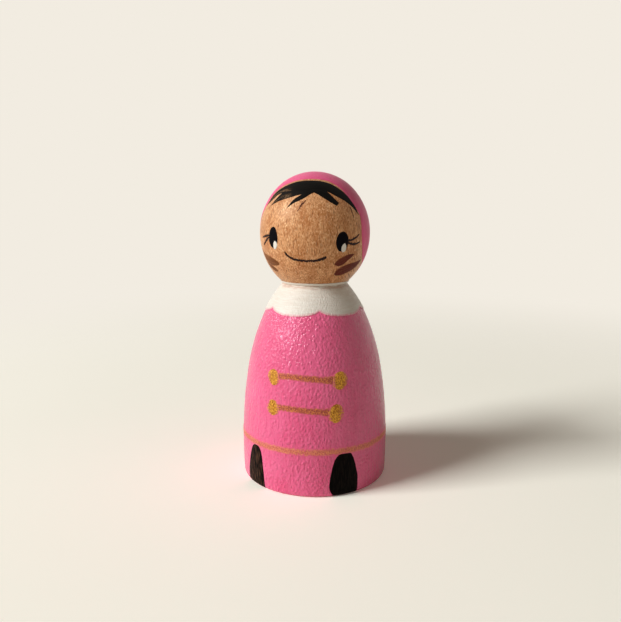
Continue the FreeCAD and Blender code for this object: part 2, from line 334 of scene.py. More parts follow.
# THE DRESS COAT
# Pink acrylic brushed up and down over the body, from the base edge to under the collar. It dries to a
# glossy skin that keeps the ripple of the brush and of the grain below it.
DRESS_PAINT = 0.0001
DRESS_TOP = 0.055
# The pink's gloss is tinted pink: painted colour in the reflections, standing in for warm surroundings.
PINK_SHINE = (1.0, 0.62, 0.74, 1.0)
OUTER_SPACING = 0.00045
INNER_SPACING = 0.003


def pink_paint(tree, place):
    """Colour of the pink coat: brushed a little lighter and darker, with pinholes over the pores."""
    cloud = grains(tree, place, 9.0, 16.0, 1.7)
    brush = grains(tree, place, 0.55, 6.0, 5.2)
    pits = grains(tree, place, 0.3, 0.75, 9.4, detail=1.0)
    body = tint(tree, ramp(tree, cloud, 0.3, 0.7), colour(240, 92, 140), colour(248, 106, 154))
    body = tint(tree, ramp(tree, brush, 0.4, 0.72, 0.0, 0.25), body, colour(252, 132, 172))
    body = tint(tree, ramp(tree, brush, 0.42, 0.24, 0.0, 0.25), body, colour(206, 60, 110))
    return tint(tree, ramp(tree, pits, 0.74, 0.84, 0.0, 0.55), body, colour(140, 24, 64))


pink, tree, shader, place = new_material("pink_dress_paint")
stipple = ramp(tree, cells(tree, place, (0.95, 0.95, 1.1)).outputs["Distance"], 0.7, 0.05)
drag = grains(tree, place, 0.55, 0.9, 4.4, detail=3.0)
ripple = relief(tree, mixed(tree, stipple, 0.3, drag, 0.7), 0.00041)
set_sockets(tree, shader, {
    "Base Color": pink_paint(tree, place),
    "Normal": ripple,
    "Coat Normal": ripple,
    "Roughness": ramp(tree, drag, 0.35, 0.65, 0.42, 0.3),
    "Specular IOR Level": 0.1,
    "Specular Tint": PINK_SHINE,
    "Coat Weight": 0.55,
    "Coat Roughness": 0.08,
    "Sheen Weight": 0.1,
    "Sheen Roughness": 0.4,
})

wood_top = slope_of((DRESS_TOP - shoulder_centre.z) / SHOULDER_ARC)
paint_top = slope_of((DRESS_TOP - shoulder_centre.z) / (SHOULDER_ARC + DRESS_PAINT))
bottom_starts = -slope_of(EDGE_ARC / (EDGE_ARC + DRESS_PAINT))
bm = bmesh.new()
bottom = bm.verts.new(out_from(edge_centre, EDGE_ARC + DRESS_PAINT, bottom_starts))
outer = trace(bm, bottom, [
    (edge_centre, bottom_starts, side_starts, 0.0003),
    (side_centre, side_starts, FLANK_SLOPE, OUTER_SPACING),
    (flank_centre, FLANK_SLOPE, SHOULDER_SLOPE, OUTER_SPACING),
    (shoulder_centre, SHOULDER_SLOPE, paint_top, OUTER_SPACING),
])
inner = bmesh.ops.extrude_vert_indiv(bm, verts=[outer])["verts"][0]
inner.co = out_from(shoulder_centre, SHOULDER_ARC, wood_top)
inner = trace(bm, inner, [
    (shoulder_centre, wood_top, SHOULDER_SLOPE, INNER_SPACING),
    (flank_centre, SHOULDER_SLOPE, FLANK_SLOPE, INNER_SPACING),
    (side_centre, FLANK_SLOPE, side_starts, INNER_SPACING),
    (edge_centre, side_starts, -90.0, 0.0005),
])
bm.edges.new((inner, bottom))
turn_on_lathe(bm, 320)
finish_piece("dress_paint", bm, pink, "pink_paint", "dress_coat")


# THE COLLAR
# Thick white acrylic round the neck, brushed on over the top of the dress. Its lower edge hangs in
# scallops that meet in sharp cusps, and its upper edge laps over the V cut on to the chin. It is thin
# at its lower edge, where the coat below shows through. In the groove it is darkened towards brown:
# partly thin paint over the wood, partly painted shade in the crease.
COLLAR_PAINT = 0.00017
COLLAR_EDGE_PAINT = 0.0001
COLLAR_BODY = 0.00012
EDGE_ROUND = 0.00035
LIP_ROUND = 0.0005
COLLAR_TOP = 0.0605
COLLAR_UNEVEN = 0.00012
LIP_STARTS = 0.0596
LIP_SHARE = 0.2
CUSP_HEIGHT = 0.0539
SCALLOP_DROP = 0.0025
CUSPS = [-50.0, 15.0, 79.0, 137.0, 192.0, 250.0, 310.0]

collar_white, tree, shader, place = new_material("white_collar_paint")
strokes = grains(tree, place, 4.0, 0.3, 2.6)
thin = grains(tree, place, 0.36, 1.7, 6.1)
gaps = grains(tree, place, 2.4, 0.5, 8.1)
from_edge = add(tree, "Attribute", {}, attribute_name="from_edge").outputs["Fac"]
level = add(tree, "SeparateXYZ", {"Vector": place}).outputs["Z"]
white = tint(tree, ramp(tree, strokes, 0.35, 0.7), colour(240, 237, 226), colour(233, 227, 214))
thin_edge = calc(
    tree, "MULTIPLY", ramp(tree, from_edge, 0.8, 0.0, 0.04, 1.0), ramp(tree, thin, 0.25, 0.7, 0.2, 0.8)
)
white = tint(tree, thin_edge, white, pink_paint(tree, place))
# darker brown in the groove: thin paint over the wood, with painted shade in the crease
groove = calc(tree, "MULTIPLY", ramp(tree, level, 0.0583, 0.0592), ramp(tree, level, 0.0601, 0.0596))
groove = calc(tree, "MULTIPLY", groove, ramp(tree, gaps, 0.35, 0.65, 0.1, 0.5))
set_sockets(tree, shader, {
    "Base Color": tint(tree, groove, white, colour(186, 128, 98)),
    "Normal": relief(tree, mixed(tree, strokes, 0.3, thin, 0.7), 0.00026),
    "Roughness": ramp(tree, thin, 0.3, 0.7, 0.44, 0.3),
    "Specular IOR Level": 0.35,
})


def new_skin():
    """An empty mesh, with the map that follows the strokes."""
    bm = bmesh.new()
    bm.loops.layers.uv.new("strokes")
    return bm


def wrap_round(bm, columns, rows):
    """A flat grid with its UV map, one unit wide and high, to be wrapped round the doll."""
    made = bmesh.ops.create_grid(bm, x_segments=columns, y_segments=rows, size=0.5, calc_uvs=True)
    return made["verts"]


def scallop_edge(azimuth):
    """Height of the collar's lower edge."""
    azimuth = (azimuth - CUSPS[0]) % 360 + CUSPS[0]
    for left, right in zip(CUSPS, CUSPS[1:]):
        if left <= azimuth <= right:
            share = (azimuth - left) / (right - left)
            hang = math.sqrt(1 - (2 * share - 1) ** 2 * 0.86)
            uneven = COLLAR_UNEVEN * noise.noise(Vector((azimuth * 0.09, 2, 0)))
            return CUSP_HEIGHT - SCALLOP_DROP * hang + uneven


bm = new_skin()
depth_layer = bm.verts.layers.float.new("from_edge")
for vert in wrap_round(bm, 720, 44):
    azimuth = (vert.co.x + 0.5) * 360
    share = vert.co.y + 0.5
    turn = math.radians(azimuth)
    low = scallop_edge(azimuth)
    lip = COLLAR_TOP + COLLAR_UNEVEN * noise.noise(Vector((math.cos(turn), math.sin(turn), 4)) * 2)
    if share < 1 - LIP_SHARE:
        level = low + (LIP_STARTS - low) * (share / (1 - LIP_SHARE)) ** 1.25
    else:
        level = LIP_STARTS + (lip - LIP_STARTS) * (share - (1 - LIP_SHARE)) / LIP_SHARE
    rim = min(level - low, (lip - level) * 1.5)
    paint = COLLAR_EDGE_PAINT + (COLLAR_PAINT - COLLAR_EDGE_PAINT) * min(1.0, rim / EDGE_ROUND) ** 0.5
    if level > LIP_STARTS:
        paint = COLLAR_PAINT * min(1.0, 0.15 + rim / LIP_ROUND)
    vert[depth_layer] = (level - low) * 1000
    vert.co = on_peg(azimuth, level, paint)
bmesh.ops.remove_doubles(bm, verts=bm.verts, dist=1e-7)
bmesh.ops.recalc_face_normals(bm, faces=bm.faces)
bmesh.ops.solidify(bm, geom=bm.faces[:], thickness=COLLAR_BODY)
finish_piece("collar_paint", bm, collar_white, "white_paint", "collar_coat")


# THE HOOD
# The same pink as the dress, brushed over the back and top of the head and round the face. Its edge is
# hand drawn, so it wanders a little and leaves a thin line of bare wood above the fringe.
HOOD_PAINT = 0.0001
HOOD_FOOT = 0.0605
HOOD_COLUMNS, HOOD_ROWS = 360, 100
# how far the hand wandered at the edge, and how far in from it the film rounds off, in degrees
HOOD_WANDER = 0.3
HOOD_ROUND = 1.2
# The hood's edge round the face in millimetres as (across, height), as the doll is seen square on.
HOOD_EDGE = [
    (-15.4, 79.6), (-13.1, 83.0), (-10.6, 86.4), (-8.4, 88.15), (-6.0, 89.2), (-3.4, 89.95), (-0.8, 90.3),
    (1.2, 90.3), (3.2, 90.1), (5.2, 89.65), (7.3, 88.65), (8.8, 87.55), (10.1, 86.25), (11.4, 84.75),
    (12.5, 83.2), (13.5, 81.6), (14.3, 80.0), (14.7, 78.0), (14.85, 75.8), (15.0, 73.0), (15.0, 70.0),
    (14.8, 67.6),
]
# Its two lower ends, as (azimuth, height), where it runs back to the neck behind the cheeks.
HOOD_ENDS = [
    [(-100.0, 60.5), (-98.0, 62.6), (-94.5, 65.3), (-90.5, 68.2), (-86.5, 71.2), (-83.0, 74.0),
     (-80.0, 76.5), (-77.0, 78.6)],
    [(80.0, 67.1), (85.0, 66.1), (91.0, 64.9), (96.0, 63.2), (98.5, 61.6), (99.0, 60.5)],
]


def drawn(points, steps):
    """Evenly spaced places on one smooth line through points given in millimetres as (across, height)."""
    knots = [Vector((across, 0, height)) / 1000 for across, height in points]
    trail = []
    for index, (start, end) in enumerate(zip(knots, knots[1:])):
        before = knots[max(index - 1, 0)]
        after = knots[min(index + 2, len(knots) - 1)]
        reach = (end - start).length / 3
        leave = start + (end - before).normalized() * reach
        arrive = end - (after - start).normalized() * reach
        trail += geometry.interpolate_bezier(start, leave, arrive, end, 16)[:-1]
    trail.append(knots[-1])
    lengths = [0.0]
    for start, end in zip(trail, trail[1:]):
        lengths.append(lengths[-1] + (end - start).length)
    places = []
    index = 0
    for step in range(steps + 1):
        wanted = lengths[-1] * step / steps
        while index < len(trail) - 2 and lengths[index + 1] < wanted:
            index += 1
        share = (wanted - lengths[index]) / max(lengths[index + 1] - lengths[index], 1e-12)
        places.append(trail[index].lerp(trail[index + 1], min(share, 1.0)))
    return places


def head_reach(slope, paint):
    """Distance from the head's centre to its surface, at a slope in degrees above level."""
    rise, run = math.sin(math.radians(slope)), math.cos(math.radians(slope))
    inset = HEAD_RADIUS - HEAD_SIDE_ARC
    reach = inset * run + math.sqrt((inset * run) ** 2 - inset ** 2 + (HEAD_SIDE_ARC + paint) ** 2)
    lean = math.degrees(math.atan2(reach * rise, reach * run - inset))
    if lean > crown_slope:
        offset, radius = crown_offset, crown_radius
    elif lean < -chin_slope:
        offset, radius = -chin_offset, chin_radius
    else:
        return reach
    nearest = offset * rise
    return nearest + math.sqrt(nearest ** 2 - offset ** 2 + (radius + paint) ** 2)


def from_face(azimuth, height):
    """Bearing round the face, 0 at the crown and 90 at the doll's left, and angle away from the face."""
    away = (on_peg(azimuth, height) - head_centre).normalized()
    return math.degrees(math.atan2(away.x, away.z)), math.degrees(math.acos(-away.y))


edge_marks = [
    from_face(slope_of(spot.x / peg_radius(spot.z, 0.0)), spot.z) for spot in drawn(HOOD_EDGE, 260)
]
for end in HOOD_ENDS:
    edge_marks += [from_face(spot.x * 1000, spot.z) for spot in drawn(end, 40)]
# and on round the back of the neck
for azimuth in range(110, 180, 10):
    edge_marks += [from_face(azimuth, HOOD_FOOT), from_face(-azimuth, HOOD_FOOT)]
edge_marks.sort()
lowest = from_face(180, HOOD_FOOT)[1]
edge_marks = [(-180.0, lowest)] + edge_marks + [(180.0, lowest)]


def hood_starts(bearing):
    """Angle away from the face at which the hood begins."""
    turn = math.radians(bearing)
    for (before, low), (after, high) in zip(edge_marks, edge_marks[1:]):
        if before <= bearing <= after:
            share = (bearing - before) / max(after - before, 1e-9)
            wander = noise.noise(Vector((math.sin(turn), math.cos(turn), 0)) * 5)
            return low + (high - low) * share + HOOD_WANDER * wander


hood_pink, tree, shader, place = new_material("pink_hood_paint")
brushing = grains(tree, place, 0.7, 1.6, 3.3)
set_sockets(tree, shader, {
    "Base Color": pink_paint(tree, place),
    "Normal": relief(tree, brushing, 0.00005),
    "Roughness": ramp(tree, brushing, 0.35, 0.65, 0.46, 0.36),
    "Specular IOR Level": 0.12,
    "Specular Tint": PINK_SHINE,
})

bm = bmesh.new()
bmesh.ops.create_uvsphere(bm, u_segments=HOOD_COLUMNS, v_segments=HOOD_ROWS, radius=1.0)
front_pole = max(bm.verts, key=lambda vert: vert.co.z)
bmesh.ops.delete(bm, geom=[front_pole], context="VERTS")
first_ring = 180 / HOOD_ROWS
for vert in bm.verts:
    bearing = math.degrees(math.atan2(vert.co.x, vert.co.y))
    turned = math.degrees(math.acos(max(-1.0, min(1.0, vert.co.z))))
    share = max(0.0, (turned - first_ring) / (180 - first_ring))
    start = hood_starts(bearing)
    away = start + (180 - start) * share ** 1.5
    paint = HOOD_PAINT * min(1.0, 0.1 + (away - start) / HOOD_ROUND) ** 0.5
    level, side = math.radians(away), math.radians(bearing)
    direction = Vector((
        math.sin(level) * math.sin(side), -math.cos(level), math.sin(level) * math.cos(side)
    ))
    vert.co = sanded(head_centre + direction * head_reach(slope_of(direction.z), paint))
bmesh.ops.recalc_face_normals(bm, faces=bm.faces)
bmesh.ops.solidify(bm, geom=bm.faces[:], thickness=HOOD_PAINT)
finish_piece("hood_paint", bm, hood_pink, "pink_paint", "hood_coat")


# THE FRINGE
# Black acrylic laid with a small brush in separate pulls from the parting, each ending in a point. The
# pulls over the doll's right brow ran dry, so that the wood shows between the bristle marks; there the
# streaks are also mixed toward grey as a painted sheen on the lit side.
MARK_PAINT = 0.00004
MARK_BODY = 0.00003
FILM_EDGE = 0.000012
# noise_vector, which makes the edges of the pulls uneven, starts from the clock unless it has a seed
noise.seed_set(4)
# Each pull as its two edges, (across, height) in millimetres, and how far it stands on the pulls below.
FRINGE = [
    # the long pulls along the hood's edge, to the doll's right and to the doll's left
    ([(1.2, 89.85), (-1.2, 89.85), (-4.1, 89.45), (-7.1, 88.4), (-8.9, 87.5), (-10.4, 86.4), (-11.4, 85.3),
      (-13.0, 82.8)],
     [(1.8, 86.6), (-0.4, 86.2), (-2.5, 86.3), (-4.9, 86.3), (-6.9, 86.4), (-8.9, 86.0), (-10.6, 84.7),
      (-13.0, 82.8)], 0.0),
    ([(0.9, 89.85), (3.1, 89.7), (6.1, 88.85), (8.95, 87.15), (11.15, 85.1), (12.85, 82.75), (14.0, 80.2)],
     [(1.5, 86.6), (4.2, 86.7), (5.4, 86.7), (8.0, 85.4), (10.4, 84.0), (12.4, 82.3), (14.0, 80.2)], 0.0),
    # the dry pull below it on the doll's right
    ([(0.3, 87.1), (-2.6, 87.2), (-5.1, 87.1), (-7.4, 86.5), (-9.1, 85.2), (-11.2, 82.8)],
     [(0.5, 85.7), (-1.5, 85.9), (-3.0, 85.6), (-4.8, 85.1), (-7.0, 84.5), (-8.9, 83.9), (-11.2, 82.8)],
     0.00001),
    # the two pulls that part over the brow
    ([(2.6, 87.2), (0.6, 87.0), (-1.3, 86.0), (-2.7, 85.2), (-4.1, 84.1), (-5.6, 82.1)],
     [(2.0, 86.45), (0.9, 85.9), (0.1, 85.35), (-1.0, 84.7), (-2.4, 84.05), (-3.8, 83.35), (-5.6, 82.1)],
     0.00002),
    ([(1.0, 87.3), (3.3, 87.4), (5.4, 86.7), (6.4, 85.9), (7.4, 84.95), (8.9, 83.6)],
     [(1.9, 86.45), (3.0, 85.95), (4.4, 85.1), (5.8, 84.3), (6.9, 83.6), (8.4, 82.75)], 0.00002),
]


def pull(bm, facing, one_edge, other_edge, paint, under=0.0, steps=(48, 10), wobble=0.00003):
    """One pull of the brush: a skin of paint between two edges, drawn as the doll is seen square on."""
    along, sides = steps
    one, other = drawn(one_edge, along), drawn(other_edge, along)
    number = len(bm.faces) // (along * sides)
    made = wrap_round(bm, along, sides)
    for vert in made:
        share, side = vert.co.x + 0.5, vert.co.y + 0.5
        column = round(share * along)
        spot = one[column].lerp(other[column], side)
        spot += noise.noise_vector(Vector((spot.x * 2200, facing, spot.z * 2200))) * wobble
        rim = min(1.0, 5 * min(side, 1 - side)) * min(1.0, 14 * min(share, 1 - share))
        film = under + FILM_EDGE + paint * rim ** 0.5
        azimuth = facing + slope_of(spot.x / peg_radius(spot.z, film))
        vert.co = on_peg(azimuth, spot.z, film)
    # each pull gets its own part of the map, so that no two have the same bristle marks
    strokes = bm.loops.layers.uv["strokes"]
    for face in {face for vert in made for face in vert.link_faces}:
        for loop in face.loops:
            loop[strokes].uv.x += 2.0 * number


def close_marks(bm):
    """Joins the marks at their points, turns them outwards and gives them their underside."""
    bmesh.ops.remove_doubles(bm, verts=bm.verts, dist=1e-6)
    bm.normal_update()
    inward = [face for face in bm.faces if face.normal.xy.dot(face.calc_center_median().xy) < 0]
    bmesh.ops.reverse_faces(bm, faces=inward)
    underside = bm.verts[:]
    bmesh.ops.extrude_face_region(bm, geom=bm.faces[:], use_keep_orig=True)
    for vert in underside:
        heart = Vector((0, 0, min(vert.co.z, HEAD_HEIGHT)))
        vert.co -= (vert.co - heart).normalized() * MARK_BODY


def stroke_map(tree):
    """The map that follows the strokes, and the share of the way across the stroke."""
    spot = add(tree, "UVMap", {}, uv_map="strokes").outputs["UV"]
    return spot, add(tree, "SeparateXYZ", {"Vector": spot}).outputs["Y"]


def from_middle(tree, across):
    """0 along the middle of a stroke and 1 along its edges."""
    return calc(tree, "ABSOLUTE", calc(tree, "MULTIPLY_ADD", across, 2.0, -1.0))


def bristles(tree, spot, count, length=2.2, shift=0.0):
    """Marks of the bristles: noise drawn out along the stroke."""
    sized = add(tree, "Mapping", {
        "Vector": spot, "Location": (shift, shift, shift), "Scale": (length, count, 1),
    }).outputs[0]
    return add(tree, "TexNoise", {"Vector": sized, "Scale": 1.0, "Detail": 3.0}).outputs["Fac"]


hair_black, tree, shader, place = new_material("black_fringe_paint")
wood, _ = beech_grain(tree, place)
spot, across = stroke_map(tree)
hairs = bristles(tree, spot, 16)
to_right = add(tree, "SeparateXYZ", {"Vector": place}).outputs["X"]
# the dry streaks, kept to the doll's right, the lit side: part wood showing through, part grey painted sheen
dry = calc(tree, "MULTIPLY", ramp(tree, to_right, -0.0040, -0.0065), ramp(tree, hairs, 0.48, 0.56))
dry = calc(
    tree, "MULTIPLY", dry,
    calc(tree, "MULTIPLY", ramp(tree, across, 0.3, 0.6), ramp(tree, across, 1.0, 0.9)),
)
dry = calc(tree, "MULTIPLY", dry, ramp(tree, grains(tree, place, 0.3, 0.5), 0.3, 0.62))
black = tint(tree, ramp(tree, hairs, 0.4, 0.7), colour(4, 3, 3), colour(18, 14, 11))
streak = tint(tree, 0.45, wood, colour(150, 140, 112))
set_sockets(tree, shader, {
    "Base Color": tint(tree, calc(tree, "MULTIPLY", dry, 0.8), black, streak),
    "Normal": relief(tree, hairs, 0.00004),
    "Roughness": ramp(tree, hairs, 0.3, 0.7, 0.42, 0.6),
    "Specular IOR Level": 0.05,
})

bm = new_skin()
for one_edge, other_edge, under in FRINGE:
    pull(bm, 0, one_edge, other_edge, MARK_PAINT, under)
close_marks(bm)
finish_piece("fringe_paint", bm, hair_black, "black_paint", "hair_fringe")


# THE STRAY HAIRS
# Three fine hairs of thin brown ink below the fringe, pulled downwards until the pen lifts: two side by
# side over the brow and one at the doll's left temple.
def pen(bm, facing, path, widths, paint=MARK_PAINT, under=0.0, steps=(40, 6)):
    """One line of the pen: a path in millimetres and the line's width at each of its points."""
    upper, lower = [], []
    for index, (across, height) in enumerate(path):
        before, after = path[max(index - 1, 0)], path[min(index + 1, len(path) - 1)]
        run = math.hypot(after[0] - before[0], after[1] - before[1])
        aside = (before[1] - after[1]) / run * widths[index] / 2
        rise = (after[0] - before[0]) / run * widths[index] / 2
        upper.append((across + aside, height + rise))
        lower.append((across - aside, height - rise))
    pull(bm, facing, upper, lower, paint, under, steps)


def ink(name, dark, soft_from):
    """Thin brown ink that creeps a little way along the grain at its edges."""
    made, tree, shader, place = new_material(name)
    wood, wood_height = beech_grain(tree, place)
    rim = from_middle(tree, stroke_map(tree)[1])
    creep = grains(tree, place, 0.26, 1.1, 8.8)
    soft = calc(tree, "ADD", rim, calc(tree, "MULTIPLY", creep, 1.5))
    line = tint(tree, grains(tree, place, 0.4, 0.7), dark, colour(44, 22, 18))
    set_sockets(tree, shader, {
        "Base Color": tint(tree, ramp(tree, soft, soft_from + 0.2, soft_from), wood, line),
        "Normal": relief(tree, wood_height, 0.00004),
        "Roughness": ramp(tree, creep, 0.3, 0.7, 0.5, 0.6),
        "Specular IOR Level": 0.15,
    })
    return made


hair_ink = ink("brown_hair_ink", colour(96, 48, 24), 1.2)
bm = new_skin()
pen(bm, 0, [(0.0, 84.3), (-0.8, 83.4), (-1.5, 82.5), (-2.2, 81.3)], [0.45, 0.55, 0.5, 0.3])
pen(bm, 0, [(-0.9, 84.0), (-1.3, 83.1), (-1.7, 82.4)], [0.3, 0.45, 0.35])
pen(bm, 50, [(0.4, 82.4), (0.7, 80.9), (1.0, 79.5)], [0.6, 0.55, 0.4])
close_marks(bm)
finish_piece("stray_hairs", bm, hair_ink, "brown_ink", "hair_wisps")


# THE EYES
# Upright black ovals in acrylic, each drawn with the tip of the brush, with a white dab low on the side
# towards the doll's left once the black has dried.
EYE_PAINT = 0.00005
GLINT_PAINT = 0.00004
GLINT_LIES_ON = 0.00006
# For each side: the azimuth it faces and its two edges, (across, height) in millimetres.
EYES = {
    "right": (
        -36,
        [(0.05, 76.98), (-0.8, 76.6), (-1.5, 75.55), (-1.93, 74.1), (-1.88, 72.7), (-1.4, 71.5),
         (-0.5, 70.8)],
        [(0.05, 76.98), (0.9, 76.6), (1.55, 75.5), (1.85, 74.15), (1.75, 72.8), (1.1, 71.6), (-0.5, 70.8)],
    ),
    "left": (
        38,
        [(0.3, 75.75), (-0.75, 75.45), (-1.5, 74.6), (-1.9, 73.55), (-1.95, 72.4), (-1.6, 71.2),
         (-0.95, 70.35), (-0.35, 70.1)],
        [(0.3, 75.75), (1.15, 75.3), (1.8, 74.35), (2.1, 73.2), (1.95, 71.95), (1.45, 70.9), (0.6, 70.2),
         (-0.35, 70.1)],
    ),
}
GLINTS = {
    "right": (
        -36,
        [(0.7, 73.0), (0.15, 72.45), (-0.1, 71.6), (-0.05, 70.9), (0.35, 70.45)],
        [(0.7, 73.0), (1.3, 72.65), (1.5, 71.9), (1.15, 71.05), (0.35, 70.45)],
    ),
    "left": (
        38,
        [(0.75, 72.5), (0.05, 71.9), (-0.22, 71.1), (-0.1, 70.3), (0.4, 69.85)],
        [(0.75, 72.5), (1.25, 71.9), (1.4, 71.1), (1.2, 70.25), (0.4, 69.85)],
    ),
}

eye_black, tree, shader, place = new_material("black_eye_paint")
dabs = grains(tree, place, 0.5, 0.9, 4.0)
set_sockets(tree, shader, {
    "Base Color": tint(tree, dabs, colour(6, 5, 8), colour(20, 17, 22)),
    "Normal": relief(tree, dabs, 0.00003),
    "Roughness": ramp(tree, dabs, 0.3, 0.7, 0.45, 0.6),
    "Specular IOR Level": 0.05,
    "IOR": 1.3,
})

glint_white, tree, shader, place = new_material("white_glint_paint")
rim = from_middle(tree, stroke_map(tree)[1])
dabs = grains(tree, place, 0.35, 0.6, 5.5)
white = tint(tree, dabs, colour(226, 220, 208), colour(250, 246, 236))
set_sockets(tree, shader, {
    "Base Color": tint(tree, ramp(tree, rim, 0.75, 1.2), white, colour(120, 112, 106)),
    "Normal": relief(tree, dabs, 0.00003),
    "Roughness": ramp(tree, dabs, 0.3, 0.7, 0.4, 0.5),
})

for side, (facing, one_edge, other_edge) in EYES.items():
    bm = new_skin()
    pull(bm, facing, one_edge, other_edge, EYE_PAINT, steps=(40, 20), wobble=0.00002)
    close_marks(bm)
    finish_piece(side + "_eye_paint", bm, eye_black, "black_paint", side + "_eye")
for side, (facing, one_edge, other_edge) in GLINTS.items():
    bm = new_skin()
    pull(bm, facing, one_edge, other_edge, GLINT_PAINT, GLINT_LIES_ON, steps=(24, 14), wobble=0.00002)
    close_marks(bm)
    finish_piece(side + "_glint_paint", bm, glint_white, "white_paint", side + "_eye_glint")


# THE LASHES
# Two flicks of the pen beside each eye, thick at the eye and lifted off to a hair.
FLICK_WIDTHS = [1.0, 0.95, 0.85, 0.75]
FLICK_END = 0.5
LASHES = {
    "right": (-50, [
        [(2.4, 74.45), (0.4, 74.2), (-2.1, 73.75)],
        [(2.3, 74.0), (0.5, 72.9), (-1.8, 71.4)],
    ]),
    "left": (55, [
        [(-3.2, 73.15), (-1.8, 73.3), (-0.8, 73.6), (0.35, 74.15), (1.5, 74.9)],
        [(-3.2, 72.55), (-1.5, 72.15), (-0.05, 72.1), (2.05, 72.65)],
    ]),
}

lash_ink = ink("brown_lash_ink", colour(30, 14, 12), 1.36)
for side, (facing, flicks) in LASHES.items():
    bm = new_skin()
    for flick in flicks:
        pen(bm, facing, flick, FLICK_WIDTHS[:len(flick) - 1] + [FLICK_END])
    close_marks(bm)
    finish_piece(side + "_lash_ink", bm, lash_ink, "brown_ink", side + "_lashes")


# THE MOUTH
# One pull of a brown-black pen from side to side. The ink has crept up and down the grain along it.
MOUTH = [
    (-5.85, 70.0), (-5.45, 69.4), (-4.85, 68.95), (-4.05, 68.35), (-2.9, 67.9), (-1.7, 67.7), (-0.25, 67.55),
    (1.75, 67.55), (3.4, 67.7), (4.5, 67.98), (5.3, 68.25), (6.1, 68.7),
]
MOUTH_WIDTHS = [0.7, 0.95, 0.95, 0.95, 1.0, 1.05, 1.0, 1.0, 1.05, 1.1, 1.15, 0.8]

mouth_ink = ink("brown_mouth_ink", colour(14, 6, 5), 1.3)
bm = new_skin()
pen(bm, -1, MOUTH, MOUTH_WIDTHS, steps=(120, 8))
close_marks(bm)
finish_piece("mouth_ink", bm, mouth_ink, "brown_ink", "mouth")


# THE CHEEKS
# Two dry strokes of thin paint on each cheek, pulled from a blunt end by the nose out to a point. One
# paint on both cheeks, made lighter, browner and thinner on the doll's right as painted light on the lit
# side, and darker and redder on its left as painted shade.
CHEEK_FILM = 0.00003


def cheek_paint(name, thick, thin, cover_low):
    """Thin paint that leaves the wood showing between the bristle marks."""
    made, tree, shader, place = new_material(name)
    wood, wood_height = beech_grain(tree, place)
    spot, across = stroke_map(tree)
    hairs = bristles(tree, spot, 9, 1.6, 3.0)
    rim = from_middle(tree, across)
    edge = ramp(tree, calc(tree, "ADD", rim, calc(tree, "MULTIPLY", hairs, 0.5)), 1.3, 1.0)
    cover = calc(tree, "MULTIPLY", ramp(tree, hairs, 0.66, 0.42, cover_low, 0.96), edge)
    set_sockets(tree, shader, {
        "Base Color": tint(tree, cover, wood, tint(tree, hairs, thick, thin)),
        "Normal": relief(tree, wood_height, 0.00004),
        "Roughness": ramp(tree, hairs, 0.3, 0.7, 0.5, 0.62),
        "Specular IOR Level": 0.15,
    })
    return made


# For each side: its paint and its strokes, each as the azimuth it faces and its upper and lower edges.
CHEEKS = {
    # lighter, browner and thinner: painted light on the lit cheek
    "right": (cheek_paint("cheek_paint_with_painted_light", colour(92, 46, 16), colour(128, 72, 30), 0.78), [
        (-47, [(-4.9, 69.9), (-3.3, 69.05), (-0.5, 68.6), (1.5, 67.8), (2.6, 67.2), (3.4, 66.6)],
         [(-4.9, 69.9), (-4.75, 68.0), (-3.7, 66.4), (-1.5, 65.5), (0.75, 65.45), (2.9, 65.8)]),
        (-52, [(-3.2, 66.4), (-1.1, 65.9), (0.65, 65.5), (1.75, 64.85), (2.3, 64.2)],
         [(-3.2, 66.4), (-2.3, 65.1), (-1.5, 64.4), (-0.3, 63.85), (1.5, 63.7)]),
    ]),
    # darker and redder: painted shade on the cheek in shade
    "left": (cheek_paint("cheek_paint_with_painted_shade", colour(72, 8, 8), colour(104, 26, 18), 0.9), [
        (42, [(-2.55, 66.5), (-2.1, 67.5), (-1.15, 68.25), (-0.15, 68.75), (1.7, 69.25), (4.0, 69.25)],
         [(-2.35, 66.2), (-0.9, 65.8), (0.5, 66.2), (1.5, 67.0), (2.75, 68.05), (4.0, 69.25)]),
        (52, [(-3.75, 63.5), (-3.75, 64.55), (-3.3, 65.25), (-1.8, 66.1), (0.5, 66.65), (2.7, 66.9),
              (6.1, 67.35)],
         [(-3.4, 63.1), (-1.85, 62.8), (0.0, 63.15), (1.75, 63.8), (3.4, 64.65), (5.0, 66.0),
          (6.1, 67.35)]),
    ]),
}
for side, (material, strokes) in CHEEKS.items():
    bm = new_skin()
    for facing, upper_edge, lower_edge in strokes:
        pull(bm, facing, upper_edge, lower_edge, CHEEK_FILM, steps=(44, 16), wobble=0.00006)
    close_marks(bm)
    finish_piece(side + "_cheek_paint", bm, material, "cheek_paint", side + "_cheek_strokes")


# THE FROGS
# Two fastenings drawn across the coat with a gold paint marker: a thin cord and a round dab at each
# end. The metal flakes settle in the ripple of the pink, so the pink shows between them at the edges.
FROG_FACING = 2
CORD_PAINT = 0.00005
CORD_WIDTHS = [2.2, 2.0, 1.9, 2.0, 2.05, 2.3, 3.2]
DAB_PAINT = 0.00006
DAB_LIES_ON = DRESS_PAINT + 0.00002
# Each as the path of its cord, and its dabs as (across, height, half width, half height).
FROGS = {
    "upper_frog": (
        [(-9.2, 34.8), (-6.8, 35.05), (-4.4, 35.15), (0.5, 34.9), (4.5, 34.6), (7.0, 34.4), (9.4, 34.2)],
        [(-9.3, 34.4, 1.9, 2.3), (9.75, 34.1, 2.15, 2.55)],
    ),
    "lower_frog": (
        [(-9.2, 26.0), (-6.4, 26.15), (-3.5, 26.1), (0.5, 25.85), (4.5, 25.65), (6.4, 25.45), (8.8, 25.1)],
        [(-9.3, 25.75, 1.95, 2.25), (8.9, 24.9, 2.2, 2.7)],
    ),
}


